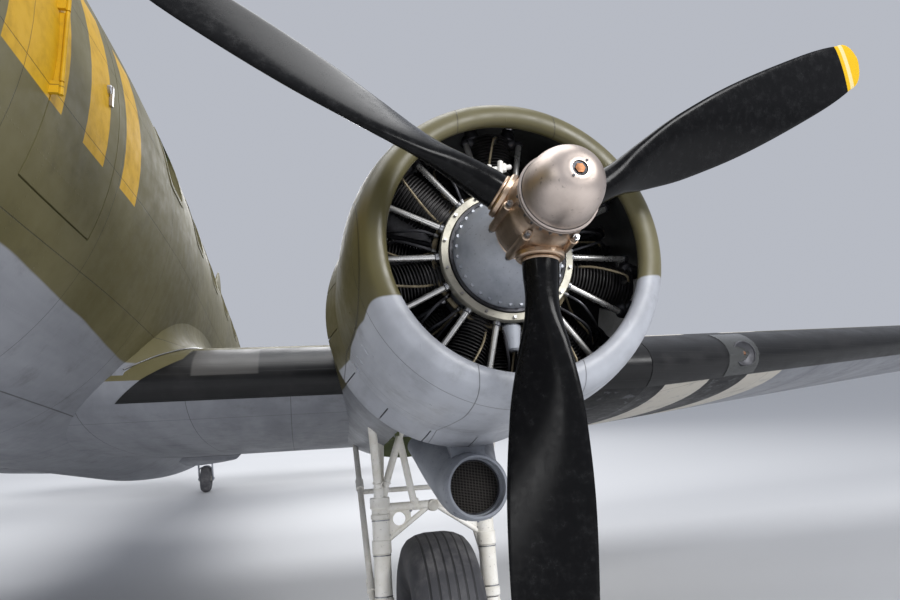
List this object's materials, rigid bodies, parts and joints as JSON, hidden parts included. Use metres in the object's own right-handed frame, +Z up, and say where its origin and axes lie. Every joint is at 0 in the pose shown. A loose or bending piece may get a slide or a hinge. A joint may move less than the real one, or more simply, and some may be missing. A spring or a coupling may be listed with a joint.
{
  "type": "military transport plane",
  "caption": "Low-wing propeller-driven military transport aeroplane on tail-wheel gear, olive over grey, with turning propellers, control surfaces, flaps and doors.",
  "frame": {"origin": "centre of the bounding box on the ground under the aeroplane", "axes": "+X to port along the span, -Y to the nose, +Z up from the ground the aeroplane is parked on"},
  "size_m": [29.1, 19.6564, 5.133],
  "materials": {
    "airframe_paint": "matt olive drab over neutral grey, with black and white stripes",
    "glazing": "clear",
    "interior_paint": "matt green primer",
    "floor_metal": "worn",
    "engine_metal": "blue-grey enamel and bare steel",
    "hub_metal": "satin",
    "dome_metal": "satin",
    "blade_paint": "gloss black, yellow tips",
    "exhaust_steel": "heat stained",
    "cooler_metal": "satin grey",
    "gear_paint": "satin cream",
    "tyre_rubber": "ribbed",
    "wheel_paint": "satin"
  },
  "bodies": {
    "airframe": {"cabin_floor": "floor_metal", "cabin_panes_port": "glazing", "cabin_panes_starboard": "glazing", "cockpit_glazing": "glazing", "cockpit_interior": "interior_paint", "cowl_gills_port": "airframe_paint", "cowl_gills_starboard": "airframe_paint", "cowling_port": "airframe_paint", "cowling_starboard": "airframe_paint", "engine_port": "engine_metal", "engine_starboard": "engine_metal", "exhaust_port": "exhaust_steel", "exhaust_starboard": "exhaust_steel", "fin": "airframe_paint", "fuselage_centre": "airframe_paint", "fuselage_nose": "airframe_paint", "fuselage_rear": "airframe_paint", "fuselage_tail": "airframe_paint", "gear_brace_port": "gear_paint", "gear_brace_starboard": "gear_paint", "gear_frame_port": "gear_paint", "gear_frame_starboard": "gear_paint", "nacelle_port": "airframe_paint", "nacelle_starboard": "airframe_paint", "oil_cooler_port": "cooler_metal", "oil_cooler_starboard": "cooler_metal", "tail_strut": "gear_paint", "tailplane": "airframe_paint", "wing_centre": "airframe_paint", "wing_outer_port": "airframe_paint", "wing_outer_starboard": "airframe_paint"},
    "propeller_port": {"prop_hub_port": "hub_metal", "prop_dome_port": "dome_metal", "prop_blade_1_port": "blade_paint", "prop_blade_2_port": "blade_paint", "prop_blade_3_port": "blade_paint"},
    "main_wheel_port": {"wheel_port": "wheel_paint", "tyre_port": "tyre_rubber"},
    "aileron_port": {"aileron_port": "airframe_paint"},
    "elevator_port": {"elevator_port": "airframe_paint"},
    "flap_inner_port": {"flap_inner_port": "airframe_paint"},
    "flap_outer_port": {"flap_outer_port": "airframe_paint"},
    "propeller_starboard": {"prop_hub_starboard": "hub_metal", "prop_dome_starboard": "dome_metal", "prop_blade_1_starboard": "blade_paint", "prop_blade_2_starboard": "blade_paint", "prop_blade_3_starboard": "blade_paint"},
    "main_wheel_starboard": {"wheel_starboard": "wheel_paint", "tyre_starboard": "tyre_rubber"},
    "aileron_starboard": {"aileron_starboard": "airframe_paint"},
    "elevator_starboard": {"elevator_starboard": "airframe_paint"},
    "flap_inner_starboard": {"flap_inner_starboard": "airframe_paint"},
    "flap_outer_starboard": {"flap_outer_starboard": "airframe_paint"},
    "tail_swivel": {"tail_fork": "gear_paint"},
    "tail_roller": {"tail_wheel": "wheel_paint", "tail_tyre": "tyre_rubber"},
    "rudder": {"rudder": "airframe_paint"},
    "crew_door": {"crew_door": "airframe_paint"},
    "cargo_door_front": {"cargo_door_front": "airframe_paint"},
    "cargo_door_rear": {"cargo_door_rear": "airframe_paint"}
  },
  "joints": [
    {"name": "propeller_port_spin", "type": "hinge", "parent": "airframe", "child": "propeller_port", "pos_m": [2.82, -6.84945, 2.66698], "axis": [0, -0.9882, 0.153], "continuous": true},
    {"name": "main_wheel_port_spin", "type": "hinge", "parent": "airframe", "child": "main_wheel_port", "pos_m": [2.82, -4.64508, 0.565], "axis": [1, 0, 0], "continuous": true},
    {"name": "propeller_starboard_spin", "type": "hinge", "parent": "airframe", "child": "propeller_starboard", "pos_m": [-2.82, -6.84945, 2.66698], "axis": [0, -0.9882, 0.153], "continuous": true},
    {"name": "main_wheel_starboard_spin", "type": "hinge", "parent": "airframe", "child": "main_wheel_starboard", "pos_m": [-2.82, -4.64508, 0.565], "axis": [1, 0, 0], "continuous": true},
    {"name": "aileron_port_hinge", "type": "hinge", "parent": "airframe", "child": "aileron_port", "pos_m": [9.12, -1.17694, 1.99386], "axis": [0.9946, 0.0633, 0.0827], "range_deg": [-22, 22]},
    {"name": "aileron_starboard_hinge", "type": "hinge", "parent": "airframe", "child": "aileron_starboard", "pos_m": [-9.12, -1.17694, 1.99386], "axis": [0.9946, -0.0633, -0.0827], "range_deg": [-22, 22]},
    {"name": "elevator_port_hinge", "type": "hinge", "parent": "airframe", "child": "elevator_port", "pos_m": [0.38, 7.70628, 1.91126], "axis": [1, 0, 0], "range_deg": [-20, 30]},
    {"name": "elevator_starboard_hinge", "type": "hinge", "parent": "airframe", "child": "elevator_starboard", "pos_m": [-3.78, 7.70628, 1.91126], "axis": [1, 0, 0], "range_deg": [-20, 30]},
    {"name": "rudder_hinge", "type": "hinge", "parent": "airframe", "child": "rudder", "pos_m": [0, 8.40428, 1.97523], "axis": [0, 0.153, 0.9882], "range_deg": [-30, 30]},
    {"name": "flap_inner_port_hinge", "type": "hinge", "parent": "airframe", "child": "flap_inner_port", "pos_m": [1.33, -1.42065, 1.45296], "axis": [-1, 0, 0], "range_deg": [0, 45]},
    {"name": "flap_inner_starboard_hinge", "type": "hinge", "parent": "airframe", "child": "flap_inner_starboard", "pos_m": [-4.08, -1.42065, 1.45296], "axis": [-1, 0, 0], "range_deg": [0, 45]},
    {"name": "flap_outer_port_hinge", "type": "hinge", "parent": "airframe", "child": "flap_outer_port", "pos_m": [4.56, -1.408, 1.47319], "axis": [-0.9936, -0.0599, -0.0957], "range_deg": [0, 45]},
    {"name": "flap_outer_starboard_hinge", "type": "hinge", "parent": "airframe", "child": "flap_outer_starboard", "pos_m": [-4.56, -1.408, 1.47319], "axis": [-0.9936, 0.0599, 0.0957], "range_deg": [0, 45]},
    {"name": "crew_door_hinge", "type": "hinge", "parent": "airframe", "child": "crew_door", "pos_m": [1.1245, -6.48407, 3.39307], "axis": [0, -0.153, -0.9882], "range_deg": [0, 85]},
    {"name": "cargo_door_front_hinge", "type": "hinge", "parent": "airframe", "child": "cargo_door_front", "pos_m": [1.153, 2.32578, 2.12593], "axis": [0, -0.153, -0.9882], "range_deg": [0, 110]},
    {"name": "cargo_door_rear_hinge", "type": "hinge", "parent": "airframe", "child": "cargo_door_rear", "pos_m": [0.91925, 4.46739, 1.90633], "axis": [0, 0.153, 0.9882], "range_deg": [0, 110]},
    {"name": "tail_swivel_turn", "type": "hinge", "parent": "airframe", "child": "tail_swivel", "pos_m": [0, 6.54104, 0], "axis": [0, 0, 1], "continuous": true},
    {"name": "tail_wheel_spin", "type": "hinge", "parent": "tail_swivel", "child": "tail_roller", "pos_m": [0, 6.71104, 0.28], "axis": [1, 0, 0], "continuous": true}
  ],
  "couplings": [
    {"joint": "aileron_starboard_hinge", "follows": "aileron_port_hinge", "ratio": -1},
    {"joint": "elevator_starboard_hinge", "follows": "elevator_port_hinge", "ratio": 1},
    {"joint": "flap_inner_starboard_hinge", "follows": "flap_inner_port_hinge", "ratio": 1},
    {"joint": "flap_outer_port_hinge", "follows": "flap_inner_port_hinge", "ratio": 1},
    {"joint": "flap_outer_starboard_hinge", "follows": "flap_inner_port_hinge", "ratio": 1}
  ]
}
